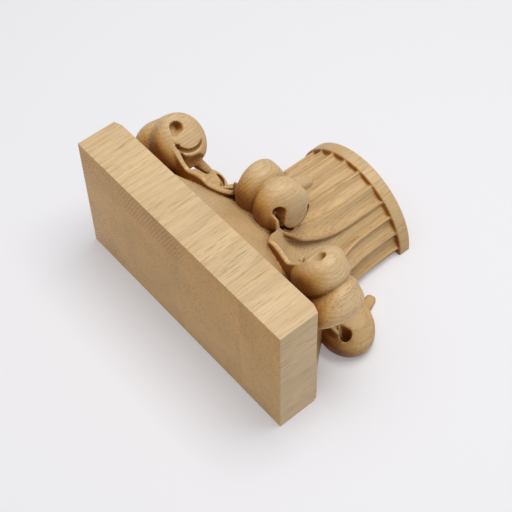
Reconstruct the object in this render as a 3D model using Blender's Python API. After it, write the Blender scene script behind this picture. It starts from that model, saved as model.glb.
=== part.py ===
"""Half-round column capital, carved from one block of oak.

It lies on its flat back: X runs along the top slab, Y up the column, Z out of the wall.
The origin is the middle of the bounding box's underside. Lengths are in metres.
"""

import math

import bmesh
import bpy
from mathutils import Vector

# The block and its top slab, the abacus
WIDTH = 0.150
DEPTH = 0.0757
HEIGHT = 0.1214
ABACUS_THICKNESS = 0.0236
CORNER_CHAMFER_LENGTH = 0.0045
CORNER_CHAMFER_DROP = 0.0016

# The plain ring that ends the neck
RING_RADIUS = 0.0390
RING_HEIGHT = 0.0073
RING_EDGE = 0.0007
RING_STEP = 0.0007

# The neck's flutes, of which the round column would have a full circle, and how far the
# channels between the leaves and the bell behind them lie inside the flutes' edges
FLUTES_AROUND = 24
FLUTES_PER_LEAF = 5
FLUTE_DEPTH = 0.0019
CHANNEL_DEPTH = 0.0031
BELL_DEPTH = 0.0028

# The bell, a cove that spreads from the neck to the slab's front and sides
COVE_LENGTH = 0.0714
COVE_POWER = 2.3
COVE_INSET = 0.0012
FLAT_LENGTH = 0.0324
FLAT_ANGLE = math.radians(22.5)

# The broad leaves, at the front and at both sides. On the stalk a pair says how far a point
# stands out from the flutes' edges, and at the scroll how far it lies behind the slab's edge.
# Its second number is how far it lies below the slab.
BROAD_SHANK = (-0.0008, 0.0614)
BROAD_KNEE = (0.0017, 0.0244)
BROAD_RIM = (0.0177, 0.0249)
BROAD_ROLL = (0.0177, 0.0344)
BROAD_EYE = (0.0122, 0.0284)
BROAD_BALL = (0.0209, 0.0378)
BROAD_TONGUE = (0.0264, 0.0608)
BROAD_BELLY = 0.0235
BROAD_TIP = 0.0165

# The corner leaves, in the same way, with their scrolls behind the slab's corners
CORNER_SHANK = (-0.0013, 0.0444)
CORNER_KNEE = (0.0077, 0.0099)
CORNER_RIM = (0.0266, 0.0124)
CORNER_ROLL = (0.0248, 0.0200)
CORNER_EYE = (0.0166, 0.0192)
CORNER_BALL = (0.0221, 0.0227)
CORNER_TONGUE = (0.0468, 0.0320)
CORNER_FOOT = 0.0065
CORNER_BELLY = 0.0260
CORNER_TIP = 0.0165

# Where along a leaf, from 0 at its foot to 1 at its scroll, its foot ends, its widest part
# starts and ends, and its tip starts
BROAD_STATIONS = (0.30, 0.60, 0.66, 0.95)
CORNER_STATIONS = (0.40, 0.60, 0.72, 0.90)
LEAF_THICKNESS = 0.0026
TIP_HOLLOW = 0.060
HOLLOW_SPAN = (0.25, 0.85)
FLUTE_FADE = (0.40, 0.85)

# The scrolls that end the leaves: two lobes side by side with a crease between them, an eye
# in each outer face, a groove from the eye that parts the ball from the rim round it, and a
# tongue that lies back on the leaf
LOBE_REACH = 0.0152
LOBE_RISE = 0.0135
LOBE_OFFSET = 0.0082
LOBE_HALF_WIDTH = 0.0090
LOBE_SQUARENESS = 2.6
CREASE_HALF_WIDTH = 0.0003
CREASE_DIP = 0.0060
CREASE_SPREAD = 0.8
CREASE_SPAN = (0.85, 1.15)
RIM_SHARE = 0.74
SCROLL_SPAN = (1.0, 1.75)
SCROLL_SHRINK = 0.4
EYE_RADIUS = 0.0033
EYE_DEPTH = 0.0070
EYE_TAPER = 0.3
BALL_RADIUS = 0.0084
GROOVE_RADII = (0.0021, 0.0008)
GROOVE_SWEEP = math.radians(215)
GROOVE_SETTLE = (0, 0.25)
TONGUE_RADIUS = 0.0092
TONGUE_TIP = 0.0024
TONGUE_FLATNESS = 0.7

# How finely the curved forms are faceted, and how deep their ends are buried
RING_SIDES = 72
CORE_ROWS = 18
CORE_COLUMNS = 48
LEAF_ROWS = 14
SCROLL_ROWS = 7
BACK_FACETS = 5
FLUTE_FACETS = 3
CHANNEL_FACETS = 5
LOBE_SEGMENTS = 20
LOBE_STATIONS = 9
LOBE_SWEEP = 0.93
EYE_SIDES = 10
GROOVE_ROWS = 12
GROOVE_SIDES = 6
TONGUE_SIDES = 8
FOOT_SHARES = {"core": 0.3, "broad": 0.4, "corner": 0.6}
OVERLAP = 0.0020
SHARP_ANGLE = math.radians(35)
TANGENT_STEP = 0.01

TOP = HEIGHT / 2
UNDER_SLAB = TOP - ABACUS_THICKNESS
BELL_LENGTH = HEIGHT - ABACUS_THICKNESS
ARRIS_RADIUS = RING_RADIUS - RING_STEP
FLUTE_ANGLE = 2 * math.pi / FLUTES_AROUND
CORNER_ANGLE = math.atan2(WIDTH / 2, DEPTH)
CORNER_REACH = math.hypot(WIDTH / 2, DEPTH)
OAK_COLOUR = (0.56, 0.37, 0.20, 1.0)


def from_flutes(pair):
    """A stalk's pair as a radius from the column's axis and a depth below the slab."""
    return Vector((ARRIS_RADIUS + pair[0], pair[1]))


def from_edge(reach, pair):
    """A scroll's pair as a radius from the column's axis and a depth below the slab."""
    return Vector((reach - pair[0], pair[1]))


def foot(name):
    """How far below the slab a form ends, buried in the ring."""
    return BELL_LENGTH - RING_HEIGHT * FOOT_SHARES[name]


def bezier(points, t):
    """A point on the cubic curve of four points."""
    a, b, c, d = points
    s = 1 - t
    return s ** 3 * a + 3 * s * s * t * b + 3 * s * t * t * c + t ** 3 * d


def blend(low, high, span, t):
    """A smooth step from low to high as t runs over a span."""
    share = min(max((t - span[0]) / (span[1] - span[0]), 0.0), 1.0)
    return low + (high - low) * share * share * (3 - 2 * share)


def between(span, share):
    return span[0] + (span[1] - span[0]) * share


def oak():
    material = bpy.data.materials.new("oak")
    material.use_nodes = True
    shader = material.node_tree.nodes["Principled BSDF"]
    shader.inputs["Base Color"].default_value = OAK_COLOUR
    shader.inputs["Roughness"].default_value = 0.6
    shader.inputs["Metallic"].default_value = 0.0
    return material


def add_object(name, mesh, collection):
    item = bpy.data.objects.new(name, mesh)
    collection.objects.link(item)
    return item


def tool(name, fill, collection):
    """A guide solid that is joined to the capital or cut out of it."""
    shape = bmesh.new()
    fill(shape)
    bmesh.ops.triangulate(shape, faces=shape.faces)
    bmesh.ops.recalc_face_normals(shape, faces=shape.faces)
    if shape.calc_volume(signed=True) < 0:
        bmesh.ops.reverse_faces(shape, faces=shape.faces)
    mesh = bpy.data.meshes.new(name)
    shape.to_mesh(mesh)
    shape.free()
    item = add_object(name, mesh, collection)
    item.hide_render = True
    item.display_type = "WIRE"
    return item


def add_loft(shape, sections):
    """A closed skin through sections of equal length, with a cap at each end."""
    rows = [[shape.verts.new(point) for point in section] for section in sections]
    count = len(rows[0])
    for low, high in zip(rows, rows[1:]):
        for i in range(count):
            j = (i + 1) % count
            shape.faces.new((low[i], low[j], high[j], high[i]))
    shape.faces.new(reversed(rows[0]))
    shape.faces.new(rows[-1])


def fill_abacus(shape):
    """The plain slab, with its neck-side front corners taken off."""
    bmesh.ops.create_cube(shape, size=1.0)
    for vert in shape.verts:
        vert.co.x *= WIDTH
        vert.co.y = TOP - ABACUS_THICKNESS * (0.5 - vert.co.y)
        vert.co.z = DEPTH if vert.co.z > 0 else -OVERLAP
    for side in (-1, 1):
        normal = Vector((side * CORNER_CHAMFER_DROP, -CORNER_CHAMFER_LENGTH, 0)).normalized()
        point = Vector((side * (WIDTH / 2 - CORNER_CHAMFER_LENGTH), UNDER_SLAB, DEPTH))
        everything = shape.verts[:] + shape.edges[:] + shape.faces[:]
        cut = bmesh.ops.bisect_plane(shape, geom=everything, plane_co=point, plane_no=normal,
                                     clear_outer=True)
        edges = [item for item in cut["geom_cut"] if isinstance(item, bmesh.types.BMEdge)]
        bmesh.ops.contextual_create(shape, geom=edges)


def fill_ring(shape):
    """The plain band that ends the neck, with its edges eased."""
    bmesh.ops.create_cone(shape, cap_ends=True, segments=RING_SIDES, radius1=RING_RADIUS,
                          radius2=RING_RADIUS, depth=RING_HEIGHT)
    rims = [edge for edge in shape.edges if abs(edge.verts[0].co.z - edge.verts[1].co.z) < 1e-6]
    bmesh.ops.bevel(shape, geom=rims, offset=RING_EDGE, segments=2, profile=0.5, affect="EDGES")
    c, k = math.cos(math.pi / RING_SIDES), math.sin(math.pi / RING_SIDES)
    for vert in shape.verts:
        x, y, z = vert.co
        vert.co = (x * c - y * k, RING_HEIGHT / 2 + z - TOP, x * k + y * c)


def core_extent(depth, slab_reach):
    """How far the bell reaches from the axis towards an edge of the slab."""
    radius = ARRIS_RADIUS - BELL_DEPTH
    share = max(COVE_LENGTH - max(depth, 0), 0) / COVE_LENGTH
    return radius + (slab_reach - COVE_INSET - radius) * share ** COVE_POWER


def fill_core(shape):
    """The bell: round at the neck, flat along the slab's front and sides."""
    sections = []
    for row in range(CORE_ROWS + 1):
        depth = between((foot("core"), -OVERLAP), row / CORE_ROWS)
        flatness = blend(1.0, 0.0, (0, FLAT_LENGTH), depth)
        section = []
        for column in range(CORE_COLUMNS):
            angle = 2 * math.pi * (column + 0.5) / CORE_COLUMNS
            off_square = abs((angle + math.pi / 4) % (math.pi / 2) - math.pi / 4)
            flat = 1 + flatness * (1 / math.cos(min(off_square, FLAT_ANGLE)) - 1)
            x = core_extent(depth, WIDTH / 2) * flat * math.sin(angle)
            z = core_extent(depth, DEPTH) * flat * math.cos(angle)
            section.append((x, UNDER_SLAB - depth, z))
        sections.append(section)
    add_loft(shape, sections)


class Leaf:
    """A strip that leaves the neck, bends outward and ends in a scroll of two lobes."""

    def __init__(self, turn, reach, stalk, scroll, widths, stations):
        self.turn = turn
        self.widths = widths
        self.stations = stations
        rim, self.roll, self.eye, self.ball, self.tongue = [from_edge(reach, pair) for pair in scroll]
        self.path = [from_flutes(pair) for pair in stalk] + [rim]
        self.curl = 0.0
        self.flutes = 1
        self.facets = CHANNEL_FACETS

    def place(self, s, point):
        """A point at s across the leaf, from its radius and its depth below the slab."""
        c, k = math.cos(self.turn), math.sin(self.turn)
        return Vector((point.x * k + s * c, UNDER_SLAB - point.y, point.x * c - s * k))

    def middle(self, t):
        """The strip's middle line: a curve up the bell to t = 1, then a coil in the scroll."""
        if t <= 1:
            return bezier(self.path, t)
        angle = (t - 1) * math.pi
        shrink = blend(1.0, SCROLL_SHRINK, SCROLL_SPAN, t)
        start = (self.path[3] - self.roll) * shrink
        reach = RIM_SHARE * LOBE_REACH * shrink
        turned = Vector((start.x * math.cos(angle) + reach * math.sin(angle),
                         start.y * math.cos(angle)))
        return self.roll + turned

    def facing(self, t):
        """The direction, square to the middle line, that the leaf's face looks in."""
        ahead = self.middle(t + TANGENT_STEP) - self.middle(t - TANGENT_STEP)
        return Vector((-ahead.y, ahead.x)).normalized()

    def half_width(self, t):
        low, belly, tip = self.widths
        foot_end, belly_start, belly_end, tip_start = self.stations
        if t <= belly_start:
            return blend(low, belly, (foot_end, belly_start), t)
        if t <= 1:
            return blend(belly, tip, (belly_end, tip_start), t)
        return blend(tip, tip * SCROLL_SHRINK, SCROLL_SPAN, t)

    def section(self, t):
        """The strip's outline at one station along its middle line."""
        here = self.middle(t)
        face = self.facing(t)
        curl = blend(self.curl, -1 / TIP_HOLLOW, HOLLOW_SPAN, t)
        depth = blend(FLUTE_DEPTH, 0.0, FLUTE_FADE, t)
        dip = blend(0.0, CREASE_DIP, CREASE_SPAN, t)
        steps = self.flutes * self.facets
        front, back = [], []
        for i in range(steps + 1):
            v = -1 + 2 * i / steps
            across, out = self.bend(curl, self.half_width(t) * v)
            out += dip * max(0, 1 - (v / CREASE_SPREAD) ** 2)
            share = (i % self.facets) / self.facets
            scoop = depth * 4 * share * (1 - share)
            front.append(self.place(across, here + face * (out - scoop)))
            if i % (steps // BACK_FACETS) == 0:
                back.append(self.place(across, here + face * (out - LEAF_THICKNESS)))
        return front + back[::-1]

    @staticmethod
    def bend(curl, length):
        """Where a point on the strip lies across and out, when the strip is bent to an arc."""
        if abs(curl) < 1e-3:
            return length, 0.0
        return math.sin(curl * length) / curl, (math.cos(curl * length) - 1) / curl

    def fill_strip(self, shape):
        stations = [i / LEAF_ROWS for i in range(LEAF_ROWS)]
        stations += [between(SCROLL_SPAN, i / SCROLL_ROWS) for i in range(SCROLL_ROWS + 1)]
        add_loft(shape, [self.section(t) for t in stations])

    def fill_scroll(self, shape):
        """Both lobes of the scroll, as sections along the axis that it rolls about."""
        sections = []
        for side in (-1, 1):
            stations = range(LOBE_STATIONS, -1, -1) if side < 0 else range(LOBE_STATIONS + 1)
            for station in stations:
                turn = math.pi * (station / LOBE_STATIONS) * LOBE_SWEEP
                s = max(LOBE_OFFSET - LOBE_HALF_WIDTH * math.cos(turn), CREASE_HALF_WIDTH)
                share = abs(s - LOBE_OFFSET) / LOBE_HALF_WIDTH
                size = (1 - share ** LOBE_SQUARENESS) ** (1 / LOBE_SQUARENESS)
                sections.append([self.lobe_point(side * s, size, i) for i in range(LOBE_SEGMENTS)])
        add_loft(shape, sections)

    def lobe_point(self, s, size, i):
        angle = 2 * math.pi * (i + 0.5) / LOBE_SEGMENTS
        offset = Vector((LOBE_REACH * math.cos(angle), LOBE_RISE * math.sin(angle)))
        return self.place(s, self.roll + offset * size)

    def lobe_face(self, point):
        """How far across the leaf a lobe's outer face lies, over a point in the scroll."""
        offset = point - self.roll
        share = min(math.hypot(offset.x / LOBE_REACH, offset.y / LOBE_RISE), 1.0)
        return LOBE_OFFSET + LOBE_HALF_WIDTH * (1 - share ** LOBE_SQUARENESS) ** (1 / LOBE_SQUARENESS)

    def fill_eye(self, shape, side):
        """The hole in a lobe's outer face."""
        bmesh.ops.create_cone(shape, cap_ends=True, segments=EYE_SIDES, depth=2 * EYE_DEPTH,
                              radius1=EYE_RADIUS * (1 - EYE_TAPER),
                              radius2=EYE_RADIUS * (1 + EYE_TAPER))
        for vert in shape.verts:
            x, y, z = vert.co
            s = self.lobe_face(self.eye) + z
            vert.co = self.place(side * s, self.eye + Vector((x, y)))

    def fill_groove(self, shape, side):
        """The groove that runs out of the eye and round the ball inside the rim."""
        start = self.eye - self.ball
        sections = []
        for row in range(GROOVE_ROWS + 1):
            share = row / GROOVE_ROWS
            turn = math.atan2(start.y, start.x) - GROOVE_SWEEP * share
            out = Vector((math.cos(turn), math.sin(turn)))
            centre = self.ball + out * blend(start.length, BALL_RADIUS, GROOVE_SETTLE, share)
            radius = between(GROOVE_RADII, share)
            section = []
            for i in range(GROOVE_SIDES):
                angle = 2 * math.pi * (i + 0.5) / GROOVE_SIDES
                s = self.lobe_face(centre) + radius * math.sin(angle)
                section.append(self.place(side * s, centre + out * radius * math.cos(angle)))
            sections.append(section)
        add_loft(shape, sections)

    def fill_tongue(self, shape):
        """The leaf's end, which comes out of the crease and lies back along the leaf."""
        along = self.tongue - self.roll
        bmesh.ops.create_cone(shape, cap_ends=True, segments=TONGUE_SIDES, depth=along.length,
                              radius1=TONGUE_RADIUS, radius2=TONGUE_TIP)
        across = Vector((-along.y, along.x)).normalized()
        for vert in shape.verts:
            x, y, z = vert.co
            share = z / along.length + 0.5
            vert.co = self.place(x, self.roll + along * share + across * y * TONGUE_FLATNESS)


def broad_leaf(turn, reach):
    """A leaf of five flutes, at the front or at a side."""
    stalk = ((0, foot("broad")), BROAD_SHANK, BROAD_KNEE)
    scroll = (BROAD_RIM, BROAD_ROLL, BROAD_EYE, BROAD_BALL, BROAD_TONGUE)
    widths = (ARRIS_RADIUS * FLUTE_ANGLE * FLUTES_PER_LEAF / 2, BROAD_BELLY, BROAD_TIP)
    leaf = Leaf(turn, reach, stalk, scroll, widths, BROAD_STATIONS)
    leaf.curl = 1 / ARRIS_RADIUS
    leaf.flutes = FLUTES_PER_LEAF
    leaf.facets = FLUTE_FACETS
    return leaf


def corner_leaf(turn):
    """A leaf that comes up in the channel between two broad ones, to a corner of the slab."""
    stalk = ((-CHANNEL_DEPTH, foot("corner")), CORNER_SHANK, CORNER_KNEE)
    scroll = (CORNER_RIM, CORNER_ROLL, CORNER_EYE, CORNER_BALL, CORNER_TONGUE)
    widths = (CORNER_FOOT, CORNER_BELLY, CORNER_TIP)
    return Leaf(turn, CORNER_REACH, stalk, scroll, widths, CORNER_STATIONS)


def fill_wall(shape):
    """All that lies behind the flat back."""
    bmesh.ops.create_cube(shape, size=4 * max(WIDTH, HEIGHT))
    for vert in shape.verts:
        vert.co.z = min(vert.co.z, 0)


def fill_hidden_pockets(shape):
    """Keep the outer skin only, so that a pocket sealed inside becomes solid wood."""
    left = set(shape.faces)
    skins = []
    while left:
        skin = {left.pop()}
        border = list(skin)
        while border:
            face = border.pop()
            for edge in face.edges:
                for other in edge.link_faces:
                    if other in left:
                        left.remove(other)
                        skin.add(other)
                        border.append(other)
        skins.append(skin)
    skins.sort(key=len)
    inner = [face for skin in skins[:-1] for face in skin]
    bmesh.ops.delete(shape, geom=inner, context="FACES")


def add_leaf(leaf, joined, carved):
    tool("strip", leaf.fill_strip, joined)
    tool("scroll", leaf.fill_scroll, joined)
    tool("tongue", leaf.fill_tongue, joined)
    for side in (-1, 1):
        tool("eye", lambda shape, side=side: leaf.fill_eye(shape, side), carved)
        tool("groove", lambda shape, side=side: leaf.fill_groove(shape, side), carved)


def main():
    for item in list(bpy.data.objects):
        bpy.data.objects.remove(item, do_unlink=True)
    parts = bpy.data.collections.new("half_round_column_capital")
    tools = bpy.data.collections.new("capital_tools")
    joined = bpy.data.collections.new("capital_joined")
    carved = bpy.data.collections.new("capital_carved")
    for collection in (parts, tools, joined, carved):
        bpy.context.scene.collection.children.link(collection)

    tool("ring", fill_ring, joined)
    tool("core", fill_core, joined)
    add_leaf(broad_leaf(0, DEPTH), joined, carved)
    for side in (-1, 1):
        add_leaf(corner_leaf(side * CORNER_ANGLE), joined, carved)
        add_leaf(broad_leaf(side * math.pi / 2, WIDTH / 2), joined, carved)
    tool("wall", fill_wall, carved)
    block = tool("block", fill_abacus, tools)
    for operation, collection in (("UNION", joined), ("DIFFERENCE", carved)):
        step = block.modifiers.new(collection.name, "BOOLEAN")
        step.operation = operation
        step.solver = "MANIFOLD"
        step.operand_type = "COLLECTION"
        step.collection = collection

    graph = bpy.context.evaluated_depsgraph_get()
    mesh = bpy.data.meshes.new_from_object(block.evaluated_get(graph))
    shape = bmesh.new()
    shape.from_mesh(mesh)
    fill_hidden_pockets(shape)
    bmesh.ops.triangulate(shape, faces=shape.faces)
    shape.to_mesh(mesh)
    shape.free()
    mesh.name = "capital"
    mesh.materials.clear()
    mesh.materials.append(oak())
    capital = add_object("capital", mesh, parts)
    capital.data.shade_smooth()
    capital.data.set_sharp_from_angle(angle=SHARP_ANGLE)


main()
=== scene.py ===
"""Half-round column capital in bare oak: carves the visual model round the packed CAD part.

X runs along the top slab, Y up the column, Z out of the wall. Lengths are in metres.
"""

import math

import bmesh
import bpy
import numpy as np
from mathutils import Matrix, Vector
from mathutils.bvhtree import BVHTree


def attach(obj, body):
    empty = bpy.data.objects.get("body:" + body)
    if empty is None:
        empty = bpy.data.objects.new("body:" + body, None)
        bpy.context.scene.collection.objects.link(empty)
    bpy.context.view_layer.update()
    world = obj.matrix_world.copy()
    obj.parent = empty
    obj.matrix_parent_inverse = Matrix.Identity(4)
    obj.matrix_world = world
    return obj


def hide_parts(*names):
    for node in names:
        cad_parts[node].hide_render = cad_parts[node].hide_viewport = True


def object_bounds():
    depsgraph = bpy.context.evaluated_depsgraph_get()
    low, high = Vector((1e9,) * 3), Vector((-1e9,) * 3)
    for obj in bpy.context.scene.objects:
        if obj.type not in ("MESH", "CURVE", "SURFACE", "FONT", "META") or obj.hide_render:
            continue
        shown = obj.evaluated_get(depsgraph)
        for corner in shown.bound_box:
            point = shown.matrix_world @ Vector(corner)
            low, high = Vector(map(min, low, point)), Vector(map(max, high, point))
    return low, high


bl_info = {
    "name": "Half-round column capital",
    "version": (1, 0, 0),
    "blender": (4, 5, 0),
    "location": "3D View > Sidebar > Capital",
    "description": "Carved oak capital: a slab, scrolled leaves, a fluted bell and a neck ring",
    "category": "Mesh",
}

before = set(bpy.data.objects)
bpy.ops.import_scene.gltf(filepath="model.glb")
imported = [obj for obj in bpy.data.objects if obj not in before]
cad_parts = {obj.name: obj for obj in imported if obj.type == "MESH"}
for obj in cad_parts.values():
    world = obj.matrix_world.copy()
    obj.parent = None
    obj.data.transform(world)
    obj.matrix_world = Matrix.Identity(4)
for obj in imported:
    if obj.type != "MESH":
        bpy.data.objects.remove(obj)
LOW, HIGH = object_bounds()
TOP = HIGH.y
PIECE = "carved_capital"
GUIDES = "capital_guides"
# Names of the stored masks: end grain, which is also painted shade on faces towards the slab, and
# painted shade
END_GRAIN_AND_SHADE = "end_grain"
PAINTED_SHADE = "recess"

# Broad and corner leaves in turn, from wall to wall
LEAVES = 5
# How far the slab runs past the wall before the back is cut flat, and the bell into the slab
PAST_WALL = 0.006
INTO_SLAB = 0.002
# Along a leaf, whose rim is at 1: the crease, the coil, what the coil shrinks to and its reach
CREASED = (0.85, 1.15)
COIL = (1.0, 1.75)
COILED = 0.4
COIL_REACH = 0.74
# The least wood behind a flute, and the least distance from a lobe to the crease
LEAST_WOOD = 0.0006
LEAST_GAP = 0.0003
# The strips next to the back and the slab that aren't smoothed
BACK_STRIP = 0.0004
SLAB_STRIP = 0.0002
# A direction that no large face looks along, and how far off the wood the feelers for the painted
# shade start
ASKEW = (0.36, 0.48, 0.80)
CLEAR = 0.0004
# Each light's name, place, size in metres, power in watts and colour
LIGHTS = (("window", (-0.08, -0.25, 1.1), 0.6, 5.75, (1.0, 0.98, 0.95)),
          ("overhead", (0.0, 0.10, 1.2), 1.4, 5.75, (1.0, 0.99, 0.98)))


def maker(kind, **settings):
    """A short way to make properties of one kind."""
    def make(name, default, description):
        return kind(name=name, default=default, description=description, **settings)
    return make


length = maker(bpy.props.FloatProperty, unit="LENGTH", precision=4)
number = maker(bpy.props.FloatProperty, precision=3)
count = maker(bpy.props.IntProperty, min=1)
pair = maker(bpy.props.FloatVectorProperty, size=2, unit="LENGTH", precision=4)
location = maker(bpy.props.FloatVectorProperty, size=3, subtype="TRANSLATION", precision=4)
colour = maker(bpy.props.FloatVectorProperty, size=3, subtype="COLOR", min=0, max=1)


def angle(name, degrees, description):
    return bpy.props.FloatProperty(name=name, description=description,
                                   default=math.radians(degrees), subtype="ANGLE")


OUT_AND_DOWN = "How far out from the flutes' edges, and how far below the slab"
LEAN = "How far a lobe's outer face leans from the roll to the ball"
HUB = "How near to the ball's middle the trough behind the rim comes"
TONGUE = "Half width of the tongue in the crease and at its end"


class BlockSizes(bpy.types.PropertyGroup):
    """The slab, the neck ring and the bell between them."""
    width: length("Slab width", 0.1500, "Width of the slab along the wall")
    depth: length("Slab depth", 0.0757, "How far the slab stands out of the wall")
    slab: length("Slab thickness", 0.0236, "Thickness of the slab")
    chamfer: length("Corner length", 0.0045, "Length of the slope at the slab's lower corners")
    drop: length("Corner drop", 0.0016, "How much the slope takes off the slab's thickness")
    edge: length("Slab edge", 0.00025, "Radius of the slab's eased edges")
    ring_radius: length("Ring radius", 0.0390, "Radius of the plain ring")
    ring_height: length("Ring height", 0.0073, "Height of the plain ring")
    ring_step: length("Ring step", 0.0007, "How far the ring stands out from the flutes' edges")
    ring_edge: length("Ring edge", 0.0007, "Radius of the ring's eased edges")
    bell_depth: length("Bell depth", 0.0028, "How far the bell lies inside the flutes' edges")
    cove: length("Cove length", 0.0714, "How far below the slab the bell begins to spread")
    cove_power: number("Cove power", 2.1, "How late the bell spreads")
    cove_inset: length("Cove inset", 0.0012, "How far the bell's top stays inside the slab")
    flat: length("Flat length", 0.0324, "How far below the slab the bell's flats run out")


class LeafSizes(bpy.types.PropertyGroup):
    """The broad and the corner leaves, as curves from foot to scroll."""
    flutes_around: count("Flutes around", 24, "Flutes in the full circle of the neck")
    flutes_each: count("Flutes on a leaf", 5, "Flutes on one broad leaf")
    flute_depth: length("Flute depth", 0.0034, "Depth of a flute")
    channel: length("Channel depth", 0.0031, "Depth of the plain channels between broad leaves")
    thickness: length("Leaf thickness", 0.0030, "Thickness of a leaf")
    hollow: length("Leaf hollow", 0.060, "Radius of the hollow across a leaf near its scroll")
    broad_shank: pair("Broad shank", (-0.0008, 0.0614), OUT_AND_DOWN)
    broad_knee: pair("Broad knee", (0.0017, 0.0244), OUT_AND_DOWN)
    broad_rim: pair("Broad rim", (0.0197, 0.0249), OUT_AND_DOWN)
    broad_belly: length("Broad belly", 0.0235, "Half width of a broad leaf where it is widest")
    corner_shank: pair("Corner shank", (-0.0013, 0.0444), OUT_AND_DOWN)
    corner_knee: pair("Corner knee", (0.0077, 0.0099), OUT_AND_DOWN)
    corner_rim: pair("Corner rim", (0.0417, 0.0124), OUT_AND_DOWN)
    corner_foot: length("Corner foot", 0.0065, "Half width of a corner leaf at its foot")
    corner_belly: length("Corner belly", 0.0275, "Half width of a corner leaf where it is widest")
    wall_share: number("Wall side", 0.70, "Width of a corner leaf's belly next to the wall")
    tip: length("Leaf tip", 0.0165, "Half width of a leaf where it turns into its scroll")


class ScrollSizes(bpy.types.PropertyGroup):
    """The scrolls: two lobes, with a ball, an eye and grooves in each outer face."""
    broad_roll: pair("Broad roll", (0.0197, 0.0344), OUT_AND_DOWN)
    broad_eye: pair("Broad eye", (0.0252, 0.0284), OUT_AND_DOWN)
    broad_ball: pair("Broad ball", (0.0165, 0.0378), OUT_AND_DOWN)
    broad_tongue: pair("Broad tongue", (0.0110, 0.0608), OUT_AND_DOWN)
    corner_roll: pair("Corner roll", (0.0435, 0.0200), OUT_AND_DOWN)
    corner_eye: pair("Corner eye", (0.0517, 0.0192), OUT_AND_DOWN)
    corner_ball: pair("Corner ball", (0.0462, 0.0227), OUT_AND_DOWN)
    corner_tongue: pair("Corner tongue", (0.0215, 0.0302), OUT_AND_DOWN)
    reach: length("Lobe reach", 0.0152, "Radius of a lobe, out of the column")
    rise: length("Lobe rise", 0.0135, "Radius of a lobe, up the column")
    offset: length("Lobe offset", 0.0082, "How far a lobe's middle lies from the crease")
    broad_lean: number("Broad lean", 0.9, LEAN)
    corner_lean: number("Corner lean", 0.35, LEAN)
    wall_swell: length("Wall swell", 0.0024, "How much fuller a corner's lobe is next to the wall")
    half_width: length("Lobe half width", 0.0090, "Half the width of a lobe")
    outer_power: number("Lobe outside", 2.6, "How square a lobe is towards its outer face")
    inner_power: number("Lobe inside", 3.5, "How square a lobe is towards the crease")
    crease: length("Crease dip", 0.0060, "How deep the leaf's tip dips at the crease")
    broad_eye_radius: length("Broad eye radius", 0.0029, "Radius of an eye at the lobe's face")
    corner_eye_radius: length("Corner eye radius", 0.0035, "Radius of an eye at the lobe's face")
    broad_eye_depth: length("Broad eye depth", 0.0090, "Depth of a broad leaf's eyes")
    corner_eye_depth: length("Corner eye depth", 0.0056, "Depth of a corner leaf's eyes")
    broad_ball_radius: length("Broad ball radius", 0.0079, "Radius of the groove round the ball")
    corner_ball_radius: length("Corner ball radius", 0.0084, "Radius of the groove round the ball")
    groove_sweep: angle("Groove sweep", 250, "How far the groove goes round the ball")
    groove_width: length("Groove width", 0.0010, "Half width of the groove where it is widest")
    groove_depth: length("Groove depth", 0.0034, "Depth of the groove where it is deepest")
    broad_hub: length("Broad hub", 0.0084, HUB)
    corner_hub: length("Corner hub", 0.0112, HUB)
    trough_width: length("Trough width", 0.0010, "Least width of the trough")
    trough_depth: length("Trough depth", 0.0070, "Depth of the trough at the leaf's face")
    broad_tongue_size: pair("Broad tongue size", (0.0064, 0.0031), TONGUE)
    corner_tongue_size: pair("Corner tongue size", (0.0054, 0.0023), TONGUE)


class CarvingSizes(bpy.types.PropertyGroup):
    """How finely the block is carved."""
    grain: length("Carving step", 0.0004, "Size of the steps that the solids are joined at")
    cut_grain: length("Cut step", 0.0003, "Size of the steps that the cutters are joined at")
    triangles: count("Triangles", 170000, "How many triangles the finished piece keeps")
    # The feelers below find the hollows for the painted shade
    feelers: count("Feelers", 16, "How many lines feel for walls round each point")
    feel: length("Feeler length", 0.030, "How far those lines reach")
    passes: count("Smoothing passes", 8, "How often the carved part is smoothed")


class OakLook(bpy.types.PropertyGroup):
    """The bare oak's colours, the tones of its painted shade, and the scale of its figure."""
    light: colour("Light wood", (0.760, 0.560, 0.325), "Early wood between the growth lines")
    dark: colour("Dark wood", (0.560, 0.370, 0.180), "Late wood in the growth lines")
    pore: colour("Pores", (0.330, 0.180, 0.080), "Open pores")
    # The end grain tint is the wood's own, but its mask also paints shade on faces towards the
    # slab. The next two colours are painted shade, darkening hollows and faces towards the slab.
    end: colour("End grain", (0.950, 0.740, 0.420), "What faces across the grain is tinted with")
    near: colour("Carved", (0.800, 0.680, 0.450), "The warmer tone between the carved forms")
    recess: colour("Recess", (0.420, 0.280, 0.200), "The darker tone of the recesses")
    ring_spacing: length("Growth ring spacing", 0.0017, "Distance from one growth ring to the next")
    ray_spacing: length("Ray spacing", 0.0018, "Distance from one ray to the next on end grain")
    rays: pair("Rays", (0.018, 0.0665), "Middle of the rays along the slab, and above the back")
    stave: length("Stave width", 0.0452, "Width of the glued staves")
    joint: length("First joint", 0.0437, "Where the joint nearest the slab's right end lies")
    roughness: number("Roughness", 0.45, "Roughness of the sanded wood")


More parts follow.
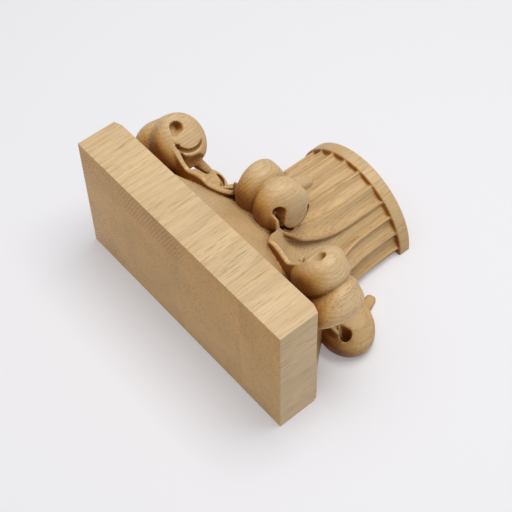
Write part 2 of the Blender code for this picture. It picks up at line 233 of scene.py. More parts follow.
class StageLook(bpy.types.PropertyGroup):
    """Camera, lights and floor."""
    azimuth: angle("Camera azimuth", 231.0463, "Direction of the camera round the capital")
    elevation: angle("Camera elevation", 53.2745, "Height of the camera above the horizon")
    roll: angle("Camera roll", -1.6174, "Tilt of the camera")
    distance: length("Camera distance", 0.6606, "From the aim point to the camera")
    aim: location("Camera aim", (0.0102, -0.0569, 0.0), "Aim point, from the slab's top edge")
    lens: number("Lens", 88.232, "Focal length in millimetres")
    floor: colour("Floor", (0.70, 0.70, 0.73), "The pale table")
    glow: number("Floor glow", 0.28, "How much light the table gives back evenly")
    sky: colour("Sky", (0.97, 0.98, 1.0), "The even light from all round")
    sky_light: number("Sky light", 0.28, "How strong that light is")


GROUPS = {"capital_block": BlockSizes, "capital_leaves": LeafSizes, "capital_scrolls": ScrollSizes,
          "capital_carving": CarvingSizes, "capital_oak": OakLook, "capital_stage": StageLook}


def blend(low, high, span, t):
    """A smooth step from low to high as t runs over a span."""
    share = min(max((t - span[0]) / (span[1] - span[0]), 0.0), 1.0)
    return low + (high - low) * share * share * (3 - 2 * share)


def between(span, share):
    return span[0] + (span[1] - span[0]) * share


def turns(steps, first=0.0):
    """The cosine and sine at even steps round a circle."""
    ways = [2 * math.pi * (i + first) / steps for i in range(steps)]
    return [(math.cos(way), math.sin(way)) for way in ways]


def guides():
    """The collection of the shapes that are only steps on the way."""
    found = bpy.data.collections.get(GUIDES)
    if found is None:
        found = bpy.data.collections.new(GUIDES)
        bpy.context.scene.collection.children.link(found)
    return found


def new_object(name, data, home):
    item = bpy.data.objects.new(name, data)
    home.objects.link(item)
    return item


def mesh_of(name, shape):
    """A mesh from a bmesh, which is freed."""
    mesh = bpy.data.meshes.new(name)
    shape.to_mesh(mesh)
    shape.free()
    return mesh


def solid(name, fills):
    """One object whose mesh holds a closed, outward shell for each fill function."""
    whole = bmesh.new()
    for fill in fills:
        shape = bmesh.new()
        fill(shape)
        bmesh.ops.triangulate(shape, faces=shape.faces)
        bmesh.ops.recalc_face_normals(shape, faces=shape.faces)
        if shape.calc_volume(signed=True) < 0:
            bmesh.ops.reverse_faces(shape, faces=shape.faces)
        mesh = mesh_of(name, shape)
        whole.from_mesh(mesh)
        bpy.data.meshes.remove(mesh)
    return new_object(name, mesh_of(name, whole), guides())


def baked(item, name=None):
    """Replace an object's mesh with its evaluated one and drop the modifiers."""
    graph = bpy.context.evaluated_depsgraph_get()
    mesh = bpy.data.meshes.new_from_object(item.evaluated_get(graph))
    item.modifiers.clear()
    item.data = mesh
    if name:
        item.name = name
        mesh.name = name
    return item


def loft(shape, sections):
    """A closed skin through sections of equal length, with a cap at each end."""
    rows = [[shape.verts.new(point) for point in section] for section in sections]
    size = len(rows[0])
    for low, high in zip(rows, rows[1:]):
        for i in range(size):
            j = (i + 1) % size
            shape.faces.new((low[i], low[j], high[j], high[i]))
    shape.faces.new(reversed(rows[0]))
    shape.faces.new(rows[-1])


class Block:
    """The slab, the ring and the bell."""

    def __init__(self, sizes):
        self.sizes = sizes
        self.under = TOP - sizes.slab
        self.bell = self.under + TOP
        self.arris = sizes.ring_radius - sizes.ring_step

    def fill_slab(self, shape):
        s = self.sizes
        bmesh.ops.create_cube(shape, size=1.0)
        for vert in shape.verts:
            vert.co.x *= s.width
            vert.co.y = TOP - s.slab * (0.5 - vert.co.y)
            vert.co.z = s.depth if vert.co.z > 0 else -PAST_WALL
        for side in (-1, 1):
            normal = Vector((side * s.drop, -s.chamfer, 0)).normalized()
            point = Vector((side * (s.width / 2 - s.chamfer), self.under, s.depth))
            everything = shape.verts[:] + shape.edges[:] + shape.faces[:]
            cut = bmesh.ops.bisect_plane(shape, geom=everything, plane_co=point, plane_no=normal,
                                         clear_outer=True)
            edges = [item for item in cut["geom_cut"] if isinstance(item, bmesh.types.BMEdge)]
            bmesh.ops.contextual_create(shape, geom=edges)
        bmesh.ops.bevel(shape, geom=shape.edges[:], offset=s.edge, segments=3, profile=0.5,
                        affect="EDGES")

    def fill_ring(self, shape):
        s = self.sizes
        bmesh.ops.create_cone(shape, cap_ends=True, segments=180, radius1=s.ring_radius,
                              radius2=s.ring_radius, depth=s.ring_height)
        rims = [e for e in shape.edges if abs(e.verts[0].co.z - e.verts[1].co.z) < 1e-6]
        bmesh.ops.bevel(shape, geom=rims, offset=s.ring_edge, segments=4, profile=0.5,
                        affect="EDGES")
        for vert in shape.verts:
            x, y, z = vert.co
            vert.co = (x, s.ring_height / 2 + z - TOP, y)

    def fill_bell(self, shape):
        s = self.sizes
        radius = self.arris - s.bell_depth
        sections = []
        rows, columns, into_ring = 60, 144, 0.3
        foot = self.bell - into_ring * s.ring_height
        for row in range(rows + 1):
            depth = between((foot, -INTO_SLAB), row / rows)
            share = max(s.cove - max(depth, 0), 0) / s.cove
            extent = radius + (s.depth - s.cove_inset - radius) * share ** s.cove_power
            flatness = blend(1.0, 0.0, (0, s.flat), depth)
            section = []
            for column in range(columns):
                turn = 2 * math.pi * (column + 0.5) / columns
                off_square = abs((turn + math.pi / 4) % (math.pi / 2) - math.pi / 4)
                square = 1 / math.cos(min(off_square, math.pi / 8))
                reach = extent * (1 + flatness * (square - 1))
                section.append((reach * math.sin(turn), self.under - depth, reach * math.cos(turn)))
            sections.append(section)
        loft(shape, sections)


class Leaf:
    """A leaf that faces straight out of the wall, with the scroll at its end."""

    # Steps across a flute, how much of the ring's height the foot starts in, how large a groove is
    # at its ends, and the stretches of a leaf or of a groove over which its forms change
    KINDS = {
        "broad": {"facets": 10, "into_ring": 0.4, "curls": ((0.25, 0.85), (0.25, 0.85)),
                  "stations": (0.30, 0.60, 0.66, 0.95), "flute_end": (0.70, 1.00),
                  "fade": (0.90, 1.0), "groove_ends": (0.5, 0.4),
                  "trough_ends": {-1: 1.09, 1: 0.96}},
        "corner": {"facets": 24, "into_ring": 0.6, "curls": ((0.40, 0.60), (0.78, 0.92)),
                   "stations": (0.20, 0.66, 0.80, 0.90), "flute_end": (0.40, 0.75),
                   "fade": (0.60, 0.88), "groove_ends": (0.25, 0.1),
                   "trough_ends": {-1: 1.10, 1: 1.10}},
    }
    TROUGH_START = 0.66
    # The trough's outline, as shares of its width towards the leaf's face and of its depth outward
    TROUGH = ((0, 0.6), (0, 0.2), (0, -0.2), (0, -0.6), (0, -1), (0.3, -1), (0.6, -0.8),
              (0.85, -0.4), (1.1, 0.2), (1.2, 0.6))
    # A lobe swells mostly up, and a little towards the column
    SWELL_WAY = Vector((0.4, 1))

    def __init__(self, kind, block, leaves, scrolls):
        self.block = block
        self.leaves = leaves
        self.scrolls = scrolls
        for name, value in self.KINDS[kind].items():
            setattr(self, name, value)
        for name in ("lean", "hub", "tongue_size", "eye_radius", "eye_depth", "ball_radius"):
            setattr(self, name, getattr(scrolls, kind + "_" + name))
        for name in ("roll", "eye", "ball", "tongue"):
            setattr(self, name, self.spread(getattr(scrolls, kind + "_" + name)))
        if kind == "broad":
            self.flutes = leaves.flutes_each
            self.wall_share = 1.0
            self.wall_swell = 0.0
            sunk = 0.0
            foot = block.arris * math.pi * leaves.flutes_each / leaves.flutes_around
        else:
            self.flutes = 1
            self.wall_share = leaves.wall_share
            self.wall_swell = scrolls.wall_swell
            sunk = leaves.channel
            foot = leaves.corner_foot
        self.widths = (foot, getattr(leaves, kind + "_belly"), leaves.tip)
        start = (-sunk, block.bell - self.into_ring * block.sizes.ring_height)
        self.path = [self.spread(start)] + [
            self.spread(getattr(leaves, kind + "_" + name)) for name in ("shank", "knee", "rim")]

    def spread(self, out_and_down):
        return Vector((self.block.arris + out_and_down[0], out_and_down[1]))

    def point(self, s, here):
        return Vector((s, self.block.under - here.y, here.x))

    def middle(self, t):
        """The leaf's middle line: a curve up the bell to t = 1, then a coil in the scroll."""
        if t <= 1:
            a, b, c, d = self.path
            s = 1 - t
            return s ** 3 * a + 3 * s * s * t * b + 3 * s * t * t * c + t ** 3 * d
        turn = (t - 1) * math.pi
        shrink = blend(1.0, COILED, COIL, t)
        start = (self.path[3] - self.roll) * shrink
        reach = COIL_REACH * self.scrolls.reach * shrink
        return self.roll + Vector((start.x * math.cos(turn) + reach * math.sin(turn),
                                   start.y * math.cos(turn)))

    def facing(self, t):
        ahead = self.middle(t + 0.01) - self.middle(t - 0.01)
        return Vector((-ahead.y, ahead.x)).normalized()

    def half_width(self, t, side):
        low, belly, tip = self.widths
        if side < 0:
            belly *= self.wall_share
        foot_end, belly_start, belly_end, tip_start = self.stations
        if t <= belly_start:
            return blend(low, belly, (foot_end, belly_start), t)
        if t <= 1:
            return blend(belly, tip, (belly_end, tip_start), t)
        return blend(tip, tip * COILED, COIL, t)

    def section(self, t):
        here = self.middle(t)
        face = self.facing(t)
        curl = self.curl(t)
        steps = self.flutes * self.facets
        front, back = [], []
        for i in range(steps + 1):
            v = -1 + 2 * i / steps
            across, out = self.bend(curl, self.half_width(t, v) * v)
            out += self.dip(t, v)
            scoop = self.scoop(t, v)
            front.append(self.point(across, here + face * (out - scoop)))
            thin = self.leaves.thickness * (0.85 + 0.15 * min(1, 3 * (1 - abs(v))))
            back.append(self.point(across, here + face * (out - max(thin, scoop + LEAST_WOOD))))
        return front + back[::-1]

    def dip(self, t, v):
        """How far the leaf's tip dips at the crease, across the leaf from -1 to 1."""
        return blend(0.0, self.scrolls.crease, CREASED, t) * max(0, 1 - (v / 0.8) ** 2)

    def scoop(self, t, v):
        """How deep the flutes lie below the leaf's face, across the leaf from -1 to 1."""
        share = (v + 1) / 2 * self.flutes % 1
        return blend(self.leaves.flute_depth, 0.0, self.flute_end, t) * 4 * share * (1 - share)

    def curl(self, t):
        """A leaf's curvature across: round the column below, flat, then hollow near its scroll."""
        round_to_flat, flat_to_hollow = self.curls
        return (blend(1 / self.block.arris, 0, round_to_flat, t)
                + blend(0, -1 / self.leaves.hollow, flat_to_hollow, t))

    @staticmethod
    def bend(curl, size):
        if abs(curl) < 1e-3:
            return size, 0.0
        return math.sin(curl * size) / curl, (math.cos(curl * size) - 1) / curl

    def fill_strip(self, shape):
        rows, coiled = 56, 30
        stations = [i / rows for i in range(rows)]
        stations += [1 + (COIL[1] - 1) * i / coiled for i in range(coiled + 1)]
        loft(shape, [self.section(t) for t in stations])

    def fill_lobes(self, shape):
        s = self.scrolls
        stations, span = 26, 0.97
        sections = []
        for side in (-1, 1):
            order = range(stations, -1, -1) if side < 0 else range(stations + 1)
            for station in order:
                turn = math.pi * (station / stations) * span
                across = max(s.offset - s.half_width * math.cos(turn), LEAST_GAP)
                share = min(abs(across - s.offset) / s.half_width, 1.0)
                power = s.outer_power if across > s.offset else s.inner_power
                size = (1 - share ** power) ** (1 / power)
                middle, radii = self.lobe_shape(across, side)
                rim = [Vector((radii.x * u, radii.y * v)) for u, v in turns(72)]
                sections.append([self.point(side * across, middle + way * size) for way in rim])
        loft(shape, sections)

    def lobe_shape(self, across, side):
        """A lobe's middle, which leans to the ball towards its outer face, and its two radii."""
        s = self.scrolls
        lean = blend(0, self.lean, (s.offset, s.offset + s.half_width), across)
        swell = blend(0, self.wall_swell, (0, s.offset), across) if side < 0 else 0.0
        middle = self.roll + (self.ball - self.roll) * lean - self.SWELL_WAY * swell
        return middle, Vector((s.reach, s.rise + swell))

    def lobe_face(self, here, side):
        """How far across the leaf a lobe's outer face lies."""
        s = self.scrolls
        across = s.offset + s.half_width
        for _ in range(8):
            middle, radii = self.lobe_shape(across, side)
            offset = here - middle
            share = min(math.hypot(offset.x / radii.x, offset.y / radii.y), 1.0)
            across = s.offset + s.half_width * (1 - share ** s.outer_power) ** (1 / s.outer_power)
        return across

    def fill_tongue(self, shape):
        root, tip = self.tongue_size
        along = self.tongue - self.roll
        across = Vector((-along.y, along.x)).normalized()
        rows, taper, flat, blunt, square = 18, 0.7, 0.85, 0.86, 0.6
        sections = []
        for row in range(rows + 1):
            share = row / rows
            wide = between((root, tip), share ** taper)
            thick = between((root, tip * flat), share ** taper)
            if row == rows:
                wide, thick = wide * blunt, thick * blunt
            section = []
            for u, v in turns(32):
                u = math.copysign(abs(u) ** square, u)
                v = math.copysign(abs(v) ** square, v)
                section.append(self.point(wide * u, self.roll + along * share + across * thick * v))
            sections.append(section)
        loft(shape, sections)

    def fill_groove(self, shape, side):
        """The narrow, deep line that leaves the eye and goes round the ball."""
        s = self.scrolls
        start = self.eye - self.ball
        first, last = self.groove_ends
        rows = 60
        sections = []
        for row in range(rows + 1):
            share = row / rows
            turn = math.atan2(start.y, start.x) - s.groove_sweep * share
            out = Vector((math.cos(turn), math.sin(turn)))
            centre = self.ball + out * blend(start.length, self.ball_radius, (0, 0.22), share)
            swell = blend(first, 1.0, (0.2, 0.4), share) * blend(1.0, last, self.fade, share)
            if share > 0.96:
                swell *= 0.5
            face = self.lobe_face(centre, side)
            sections.append([self.point(side * (face + v * s.groove_depth * swell),
                                        centre + out * (u * s.groove_width * swell))
                             for u, v in turns(16, 0.5)])
        loft(shape, sections)

    def front(self, t, across, side):
        """How far the leaf's face stands forward of its middle line, across the leaf."""
        v = min(across / self.half_width(t, side), 1.0)
        return self.bend(self.curl(t), across)[1] + self.dip(t, v) - self.scoop(t, v)

    def gap(self, start, face):
        """How far the hub round the ball lies from a point on the leaf's face."""
        to = self.ball - start
        along = to.dot(face)
        off = to.dot(to) - along * along
        return along - math.sqrt(max(self.hub * self.hub - off, 0))

    def fill_trough(self, shape, side):
        """The trough between the rim and the ball, which opens towards the leaf's face."""
        s = self.scrolls
        rows, proud, least = 40, 0.0003, 0.001
        sections = []
        for row in range(rows + 1):
            share = row / rows
            t = between((self.TROUGH_START, self.trough_ends[side]), share)
            face = self.facing(t)
            here = self.middle(t)
            low = self.front(t, self.leaves.tip, side)
            wide = max(self.gap(here + face * low, face), s.trough_width)
            deep = s.trough_depth * blend(1.0, 0.6, (0.4, 1.0), share)
            section = []
            for way, down in self.TROUGH:
                edge = self.lobe_face(here + face * (low + wide * way), side)
                across = max(edge + deep * down, least)
                forward = self.front(t, across, side) + proud + wide * way
                section.append(self.point(side * across, here + face * forward))
            sections.append(section)
        loft(shape, sections)

    def fill_eye(self, shape, side):
        """The eye: a hole that is wide at the lobe's face and drawn out towards the groove."""
        start = self.eye - self.ball
        turn = math.atan2(start.y, start.x) - math.radians(50)
        rim = Vector((math.cos(turn), math.sin(turn))) * self.ball_radius * 0.97
        tail = (self.ball + rim - self.eye).normalized()
        side_way = Vector((-tail.y, tail.x))
        face = self.lobe_face(self.eye, side)
        rows, proud, longer, slimmer = 12, 0.003, 0.7, 0.45
        sections = []
        for row in range(rows + 1):
            share = row / rows
            depth = self.eye_depth * (1 - share) - proud * share
            radius = self.eye_radius * between((0.5, 1.25), share ** 0.8)
            section = []
            for u, v in turns(28):
                stretch = 1 + longer * share * max(u, 0) ** 2
                narrow = 1 - slimmer * max(u, 0) ** 2
                here = self.eye + tail * (radius * stretch * u) + side_way * (radius * narrow * v)
                section.append(self.point(side * (face - depth), here))
            sections.append(section)
        loft(shape, sections)

    def wood(self):
        return [self.fill_strip, self.fill_lobes, self.fill_tongue]

    def cuts(self):
        return [lambda shape, cut=cut, side=side: cut(shape, side) for side in (-1, 1)
                for cut in (self.fill_eye, self.fill_groove, self.fill_trough)]


def socket_id(tree, name):
    for item in tree.interface.items_tree:
        if item.name == name:
            return item.identifier
    raise KeyError(name)


def ring_of_leaves():
    """A node tree that sets two shapes in turn round the column, mirrored past the middle."""
    tree = bpy.data.node_groups.new("ring_of_leaves", "GeometryNodeTree")
    for name, kind in (("Geometry", "Geometry"), ("Broad", "Object"), ("Corner", "Object"),
                       ("Leaves", "Int"), ("Step", "Float"), ("Material", "Material")):
        tree.interface.new_socket(name, in_out="INPUT", socket_type="NodeSocket" + kind)
    tree.interface.new_socket("Geometry", in_out="OUTPUT", socket_type="NodeSocketGeometry")
    nodes = Nodes(tree)
    given = {item.name: Socket(nodes, item) for item in tree.nodes.new("NodeGroupInput").outputs}
    above = {"data_type": "FLOAT", "operation": "GREATER_THAN"}
    index = nodes.node("GeometryNodeInputIndex", {})
    half = (given["Leaves"] - 1) * 0.5
    turned = nodes.node("ShaderNodeCombineXYZ", {}, Y=(index - half) * given["Step"])
    past = nodes.node("FunctionNodeCompare", above, index, half)
    mirrored = nodes.node("ShaderNodeCombineXYZ", {}, 1 - past * 2, 1.0, 1.0)
    is_corner = nodes.node("FunctionNodeCompare", above, nodes.maths("MODULO", index, 2), 0.5)
    is_broad = nodes.node("FunctionNodeBooleanMath", {"operation": "NOT"}, is_corner)
    points = nodes.node("GeometryNodeMeshLine", {}, Count=given["Leaves"], Offset=(0, 0, 0))
    join = tree.nodes.new("GeometryNodeJoinGeometry")
    for name, chosen in (("Broad", is_broad), ("Corner", is_corner)):
        leaf = nodes.node("GeometryNodeObjectInfo", {}, Object=given[name], out="Geometry")
        put = nodes.node("GeometryNodeInstanceOnPoints", {}, Points=points, Selection=chosen,
                         Instance=leaf, Rotation=turned, Scale=mirrored)
        nodes.feed(join.inputs[0], put)
    real = nodes.node("GeometryNodeRealizeInstances", {}, Socket(nodes, join.outputs[0]))
    painted = nodes.node("GeometryNodeSetMaterial", {}, real, Material=given["Material"])
    nodes.feed(tree.nodes.new("NodeGroupOutput").inputs[0], painted)
    return tree


def set_round(name, broad, corner, material):
    """An object with the two shapes set in turn round the column."""
    tree = bpy.data.node_groups.get("ring_of_leaves") or ring_of_leaves()
    item = new_object(name, bpy.data.meshes.new(name), guides())
    step = item.modifiers.new("ring_of_leaves", "NODES")
    step.node_group = tree
    for key, value in (("Broad", broad), ("Corner", corner), ("Leaves", LEAVES),
                       ("Step", math.pi / (LEAVES - 1)), ("Material", material)):
        step[socket_id(tree, key)] = value
    return baked(item)


def joined(name, items):
    """One mesh object from several, which are removed."""
    whole = bmesh.new()
    for item in items:
        whole.from_mesh(item.data)
        bpy.data.objects.remove(item)
    return new_object(name, mesh_of(name, whole), guides())


def fused(item, size):
    """Overlapping shells made one skin."""
    step = item.modifiers.new("fuse", "REMESH")
    step.mode = "VOXEL"
    step.voxel_size = size
    return baked(item)


def boolean(item, tool, operation):
    """Join a tool to an object, or cut it away, and remove the tool."""
    step = item.modifiers.new(tool.name, "BOOLEAN")
    step.operation = operation
    step.solver = "MANIFOLD"
    step.object = tool
    baked(item)
    bpy.data.objects.remove(tool)


def read(mesh, key):
    """A vector for each of a mesh's vertices, in rows of three."""
    values = np.empty(len(mesh.vertices) * 3, np.float32)
    mesh.vertices.foreach_get(key, values)
    return values.reshape(-1, 3)


def mark(mesh, name, values):
    """Store a value for each of a mesh's vertices, for the material to read."""
    layer = mesh.attributes.new(name, "FLOAT", "POINT")
    layer.data.foreach_set("value", values.astype(np.float32))


def oak_material():
    return bpy.data.materials.get("bare_oak") or bpy.data.materials.new("bare_oak")


class CAPITAL_OT_blank(bpy.types.Operator):
    """Shape the slab, the ring, the bell and the leaves with their scrolls, and fuse them"""
    bl_idname = "capital.blank"
    bl_label = "Shape the block"

    def execute(self, context):
        scene = context.scene
        block = Block(scene.capital_block)
        leaves = [Leaf(kind, block, scene.capital_leaves, scene.capital_scrolls)
                  for kind in ("broad", "corner")]
        plain = solid("plain_forms", (block.fill_ring, block.fill_bell))
        shapes = [self.carved_leaf(leaf, scene.capital_carving.cut_grain) for leaf in leaves]
        ring = set_round("leaves", shapes[0], shapes[1], oak_material())
        for shape in shapes:
            bpy.data.objects.remove(shape)
        fused(joined("blank", [plain, ring]), scene.capital_carving.grain)
        return {"FINISHED"}

    @staticmethod
    def carved_leaf(leaf, grain):
        """One leaf with its scroll, and its eyes, grooves and troughs cut into it."""
        shape = fused(solid("leaf", leaf.wood()), grain)
        cutter = fused(solid("cuts", leaf.cuts()), grain)
        boolean(shape, cutter, "DIFFERENCE")
        return shape


class CAPITAL_OT_carve(bpy.types.Operator):
    """Add the slab, cut the flat back, and soften the carving"""
    bl_idname = "capital.carve"
    bl_label = "Carve the block"

    def execute(self, context):
        scene = context.scene
        carving = scene.capital_carving
        block = Block(scene.capital_block)
        blank = bpy.data.objects["blank"]
        boolean(blank, solid("slab", (block.fill_slab,)), "UNION")
        boolean(blank, solid("wall", (self.fill_wall,)), "DIFFERENCE")
        baked(blank, PIECE)
        self.soften(blank, block, carving.passes)
        self.thin(blank, carving.triangles)
        # Store the end grain mask, which is also painted shade on faces towards the slab, and the
        # painted shade mask
        self.mark_end_grain(blank)
        self.mark_recesses(blank, block.under, carving.feelers, carving.feel)
        blank.data.materials.clear()
        blank.data.materials.append(oak_material())
        blank.data.shade_smooth()
        blank.data.set_sharp_from_angle(angle=math.radians(50))
        scene.collection.objects.link(blank)
        bpy.data.collections.remove(guides())
        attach(blank, "root")
        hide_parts("capital")
        return {"FINISHED"}

    @staticmethod
    def fill_wall(shape):
        bmesh.ops.create_cube(shape, size=0.6)
        for vert in shape.verts:
            vert.co.z = min(vert.co.z, 0)

    @staticmethod
    def soften(item, block, passes):
        """Smooth the carved part a little, and leave the slab and the flat back crisp."""
        where = read(item.data, "co")
        carved = (where[:, 2] > BACK_STRIP) & (where[:, 1] < block.under - SLAB_STRIP)
        group = item.vertex_groups.new(name="carved")
        group.add(np.nonzero(carved)[0].tolist(), 1.0, "REPLACE")
        step = item.modifiers.new("soften", "SMOOTH")
        step.factor = 0.5
        step.iterations = passes
        step.vertex_group = group.name
        baked(item)

    @staticmethod
    def mark_end_grain(item):
        """Note how squarely each part faces along the grain, for the end grain's tint, pores and
        rays; faces towards the neck count for less, so the tint is also painted shade on faces
        towards the slab, away from the light.
        """
        along = read(item.data, "normal")[:, 1]
        mark(item.data, END_GRAIN_AND_SHADE, np.maximum(along, -0.5 * along) ** 1.5)

    @staticmethod
    def mark_recesses(item, under, feelers, feel):
        """Note the painted shade: how deep in the hollows each part lies, as the share of lines
        that meet a wall or end behind the back.

        What faces the slab, away from the light, or is shut in counts in full, the rest less, the
        slab not at all.
        """
        mesh = item.data
        where = read(mesh, "co")
        normal = read(mesh, "normal")
        points = len(where)
        side = np.cross(normal, ASKEW)
        side /= np.maximum(np.linalg.norm(side, axis=1, keepdims=True), 1e-6)
        other = np.cross(normal, side)
        start = (where + normal * CLEAR).tolist()
        faces = [tuple(face.vertices) for face in mesh.polygons]
        walls = BVHTree.FromPolygons(where.tolist(), faces)
        met = np.zeros(points)
        for i in range(feelers):
            spread = math.sqrt((i + 0.5) / feelers)
            way = i * math.pi * (3 - math.sqrt(5))
            lines = (side * (spread * math.cos(way)) + other * (spread * math.sin(way))
                     + normal * math.sqrt(1 - spread * spread)).tolist()
            met += [a[2] + b[2] * feel < 0 or walls.ray_cast(a, b, feel)[3] is not None
                    for a, b in zip(start, lines)]
        met /= feelers

        # Even out between neighbours
        ends = np.empty(len(mesh.edges) * 2, np.int32)
        mesh.edges.foreach_get("vertices", ends)
        ends = ends.reshape(-1, 2)
        around = np.bincount(ends.ravel(), minlength=points)
        for _ in range(3):
            total = (np.bincount(ends[:, 0], met[ends[:, 1]], points)
                     + np.bincount(ends[:, 1], met[ends[:, 0]], points))
            met = (met + total / around) / 2

        # Painted shade: weigh by what is shut in, by what faces the slab, away from the light, and
        # by how near the back it lies
        shut_in = np.clip((met - 0.68) / 0.25, 0, 1)
        towards_slab = 0.2 + 0.75 * np.maximum(normal[:, 1], 0) ** 0.7
        met *= np.maximum(towards_slab, shut_in)
        met += 0.13 + 0.16 * np.clip(1 - where[:, 2] / 0.055, 0, 1)
        met[where[:, 1] > under - SLAB_STRIP] = 0
        mark(mesh, PAINTED_SHADE, met)

    @staticmethod
    def thin(item, triangles):
        size = sum(len(face.vertices) - 2 for face in item.data.polygons)
        step = item.modifiers.new("thin", "DECIMATE")
        step.ratio = min(1.0, triangles / size)
        baked(item)


class Socket:
    """A node's output that adds Math nodes when it is used in arithmetic."""

    def __init__(self, nodes, out):
        self.nodes = nodes
        self.out = out

    def __add__(self, other):
        return self.nodes.maths("ADD", self, other)

    def __sub__(self, other):
        return self.nodes.maths("SUBTRACT", self, other)

    def __rsub__(self, other):
        return self.nodes.maths("SUBTRACT", other, self)

    def __mul__(self, other):
        return self.nodes.maths("MULTIPLY", self, other)

    def __truediv__(self, other):
        return self.nodes.maths("DIVIDE", self, other)

    def __rtruediv__(self, other):
        return self.nodes.maths("DIVIDE", other, self)

    __radd__ = __add__
    __rmul__ = __mul__


class Nodes:
    """Adds nodes to a tree."""

    def __init__(self, tree):
        self.tree = tree

    def node(self, kind, settings, *values, out=0, **named):
        """One output of a new node, whose inputs are given in order or by name."""
        made = self.tree.nodes.new(kind)
        for name, value in settings.items():
            setattr(made, name, value)
        for key, value in list(enumerate(values)) + list(named.items()):
            self.feed(made.inputs[key], value)
        return Socket(self, made.outputs[out])

    def feed(self, socket, value):
        if isinstance(value, Socket):
            self.tree.links.new(value.out, socket)
        else:
            socket.default_value = value

    def maths(self, operation, *values):
        return self.node("ShaderNodeMath", {"operation": operation}, *values)


class Shader(Nodes):
    """Builds one material's nodes."""

    def __init__(self, material):
        material.use_nodes = True
        super().__init__(material.node_tree)

    def dress(self, values):
        """Feed the surface's inputs, which are given by name."""
        surface = self.tree.nodes["Principled BSDF"]
        for name, value in values.items():
            self.feed(surface.inputs[name], value)

    def noise(self, place, across, along, detail, rough=0.5):
        """Noise that is drawn out along the grain: how finely it changes across and along."""
        stretched = self.stretch(place, (across, along, across))
        return self.node("ShaderNodeTexNoise", {}, Vector=stretched, Scale=1.0, Detail=detail,
                         Roughness=rough)

    def stretch(self, place, scale, location=(0, 0, 0)):
        return self.node("ShaderNodeMapping", {"vector_type": "POINT"}, place,
                         Location=location, Scale=scale)

    def step(self, value, low, high, to_low=0.0, to_high=1.0):
        return self.node("ShaderNodeMapRange", {"interpolation_type": "SMOOTHSTEP"}, value,
                         low, high, to_low, to_high)

    def mix(self, share, one, other, blend_type="MIX"):
        """Two colours mixed, each a socket or a plain colour."""
        made = self.tree.nodes.new("ShaderNodeMix")
        made.data_type = "RGBA"
        made.blend_type = blend_type
        self.feed(made.inputs[0], share)
        for key, value in ((6, one), (7, other)):
            self.feed(made.inputs[key], value if isinstance(value, Socket) else (*value, 1.0))
        return Socket(self, made.outputs[2])


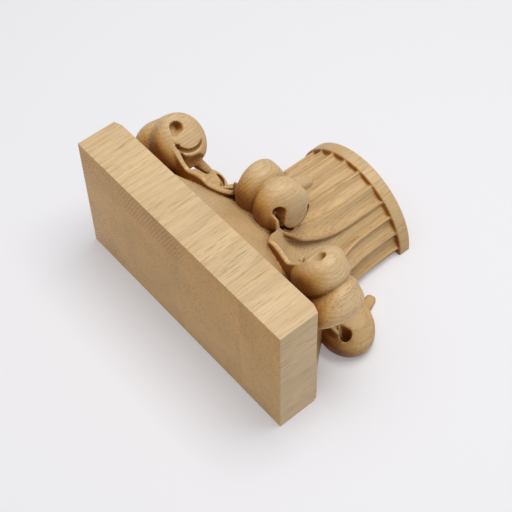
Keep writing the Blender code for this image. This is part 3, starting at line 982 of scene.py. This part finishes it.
class CAPITAL_OT_oak(bpy.types.Operator):
    """Give the capital the look of bare, sanded oak, with its grain up the column, and paint shade
    into its hollows and onto faces towards the slab
    """
    bl_idname = "capital.oak"
    bl_label = "Finish in oak"

    def execute(self, context):
        look = context.scene.capital_oak
        shader = Shader(oak_material())
        spot = shader.node("ShaderNodeTexCoord", {}, out="Object")
        x, z = [shader.node("ShaderNodeSeparateXYZ", {}, spot, out=axis) for axis in "XZ"]
        # The stored masks: end grain, which is also painted shade on faces towards the slab, and
        # painted shade
        end, recess = [shader.node("ShaderNodeAttribute", {"attribute_name": name}, out="Fac")
                       for name in (END_GRAIN_AND_SHADE, PAINTED_SHADE)]

        # Staves: each has its own tint and its own place in the tree
        stave = shader.maths("FLOOR", (x - look.joint) / look.stave)
        luck = shader.node("ShaderNodeTexWhiteNoise", {"noise_dimensions": "1D"}, W=stave,
                           out="Value")
        apart = shader.node("ShaderNodeCombineXYZ", {}, luck * 0.03, luck * 3.0, luck * 0.06)
        place = shader.node("ShaderNodeVectorMath", {"operation": "ADD"}, spot, apart, out="Vector")

        # Growth rings: cylinders about a line along the grain, a little wavy
        wander = shader.noise(place, 16, 3, 3.0)
        offset = shader.stretch(place, (1, 0.04, 1), location=(0.045, 0.0, 0.105))
        away = shader.node("ShaderNodeVectorMath", {"operation": "LENGTH"}, offset, out="Value")
        phase = shader.maths("FRACT", (away + (wander - 0.5) * 0.009) / look.ring_spacing)
        line = shader.step(phase, 0.35, 0.92) * shader.step(phase, 1.0, 0.90)

        # Pores: dark dashes along the grain, which are dots where they are cut across
        fine = shader.noise(place, 2300, 100, 2.0, 0.6)
        coarse = shader.noise(place, 1500, 60, 2.0, 0.6)
        pores = shader.step(fine, 0.56, 0.64) * 0.7 + shader.step(coarse, 0.58, 0.66) * 0.9
        patch = shader.noise(place, 60, 12, 3.0)
        pores = pores * (0.6 + 0.6 * shader.step(patch, 0.35, 0.65)) * (0.75 + 0.5 * end)

        # Rays show as a comb of bars along the slab's end grain
        comb = shader.maths("FRACT", (x * 0.86 + z * 0.51) / look.ray_spacing + wander * 1.5)
        teeth = shader.step(comb, 0.2, 0.5) * shader.step(comb, 1.0, 0.7)
        from_x = shader.maths("ABSOLUTE", x - look.rays[0])
        from_z = shader.maths("ABSOLUTE", z - look.rays[1])
        bars = (teeth * shader.step(from_x, 0.032, 0.018) * shader.step(from_z, 0.0100, 0.0065)
                * shader.step(fine, 0.40, 0.55, 0.5, 1.0) * end)

        # Broad changes of tone run along the grain
        streaks = shader.noise(place, 420, 9, 3.0, 0.6)
        tone = shader.noise(place, 48, 5, 2.0)
        tint = shader.step(tone, 0.3, 0.7, 0.93, 1.05) * (0.96 + 0.08 * luck)

        wood = shader.mix(line * 0.32, look.light, look.dark)
        wood = shader.mix(shader.step(streaks, 0.40, 0.75) * 0.26, wood, look.dark)
        wood = shader.mix(bars * 0.45, wood, look.pore)
        wood = shader.mix(pores * 0.60, wood, look.pore)
        # End grain tint, which is also painted shade on faces towards the slab
        wood = shader.mix(end, wood, look.end, "MULTIPLY")
        # Painted shade: a warmer, then a darker tone in hollows and on faces towards the slab
        for shade, low, high in ((look.near, 0.02, 0.50), (look.recess, 0.30, 0.85)):
            wood = shader.mix(shader.step(recess, low, high), wood, shade, "MULTIPLY")
        grey = shader.node("ShaderNodeCombineColor", {}, tint, tint, tint)
        wood = shader.mix(1.0, wood, grey, "MULTIPLY")

        height = 1 - pores * 0.6 - line * 0.25
        bump = shader.node("ShaderNodeBump", {}, Height=height, Strength=0.35, Distance=0.00010)
        shader.dress({"Base Color": wood, "Roughness": look.roughness + pores * 0.15,
                      "Normal": bump, "Specular IOR Level": 0.3})
        return {"FINISHED"}


class CAPITAL_OT_stage(bpy.types.Operator):
    """Add the camera, the pale floor and the soft lights"""
    bl_idname = "capital.stage"
    bl_label = "Set the stage"

    def execute(self, context):
        scene = context.scene
        look = scene.capital_stage
        self.add_camera(scene, look)
        self.add_floor(scene, look)
        self.add_lights(scene, look)
        scene.view_settings.view_transform = "Standard"
        return {"FINISHED"}

    @staticmethod
    def add_camera(scene, look):
        data = bpy.data.cameras.new("camera")
        data.sensor_width = 36
        data.lens = look.lens
        data.clip_start = 0.01
        camera = new_object("camera", data, scene.collection)
        a, e = look.azimuth, look.elevation
        back = Vector((math.sin(a) * math.cos(e), -math.cos(a) * math.cos(e), math.sin(e)))
        right = (-back).cross(Vector((0, 0, 1))).normalized()
        up = right.cross(-back)
        c, s = math.cos(look.roll), math.sin(look.roll)
        turned = Matrix((right * c + up * s, up * c - right * s, back)).transposed().to_4x4()
        turned.translation = Vector(look.aim) + Vector((0, TOP, 0)) + back * look.distance
        camera.matrix_world = turned
        scene.camera = camera

    @staticmethod
    def add_floor(scene, look):
        shape = bmesh.new()
        bmesh.ops.create_grid(shape, x_segments=1, y_segments=1, size=3.0)
        for vert in shape.verts:
            vert.co.z = LOW.z - 0.0001
        floor = new_object("floor", mesh_of("floor", shape), scene.collection)
        material = bpy.data.materials.new("pale_table")
        pale = (*look.floor, 1.0)
        Shader(material).dress({"Base Color": pale, "Roughness": 0.7,
                                "Emission Color": pale, "Emission Strength": look.glow})
        floor.data.materials.append(material)

    @staticmethod
    def add_lights(scene, look):
        world = bpy.data.worlds.new("studio")
        world.use_nodes = True
        sky = world.node_tree.nodes["Background"]
        sky.inputs["Color"].default_value = (*look.sky, 1.0)
        sky.inputs["Strength"].default_value = look.sky_light
        scene.world = world
        for name, spot, size, power, tone in LIGHTS:
            data = bpy.data.lights.new(name, "AREA")
            data.energy = power
            data.size = size
            data.color = tone
            light = new_object(name, data, scene.collection)
            light.location = spot
            light.rotation_euler = (-Vector(spot)).to_track_quat("-Z", "Y").to_euler()


class CAPITAL_PT_sidebar(bpy.types.Panel):
    """Sizes, looks and steps of the capital"""
    bl_idname = "CAPITAL_PT_sidebar"
    bl_label = "Half-round capital"
    bl_space_type = "VIEW_3D"
    bl_region_type = "UI"
    bl_category = "Capital"

    def draw(self, context):
        for name, group in GROUPS.items():
            box = self.layout.box()
            box.label(text=group.__doc__)
            for key in group.__annotations__:
                box.prop(getattr(context.scene, name), key)
        for step in OPERATORS:
            self.layout.operator(step.bl_idname)


OPERATORS = (CAPITAL_OT_blank, CAPITAL_OT_carve, CAPITAL_OT_oak, CAPITAL_OT_stage)


def register():
    for item in (*GROUPS.values(), *OPERATORS, CAPITAL_PT_sidebar):
        bpy.utils.register_class(item)
    for name, group in GROUPS.items():
        setattr(bpy.types.Scene, name, bpy.props.PointerProperty(type=group))


def unregister():
    for name in GROUPS:
        delattr(bpy.types.Scene, name)
    for item in reversed((*GROUPS.values(), *OPERATORS, CAPITAL_PT_sidebar)):
        bpy.utils.unregister_class(item)


def main():
    register()
    bpy.ops.capital.blank()
    bpy.ops.capital.carve()
    bpy.ops.capital.oak()
    bpy.ops.capital.stage()


if __name__ == "__main__":
    main()
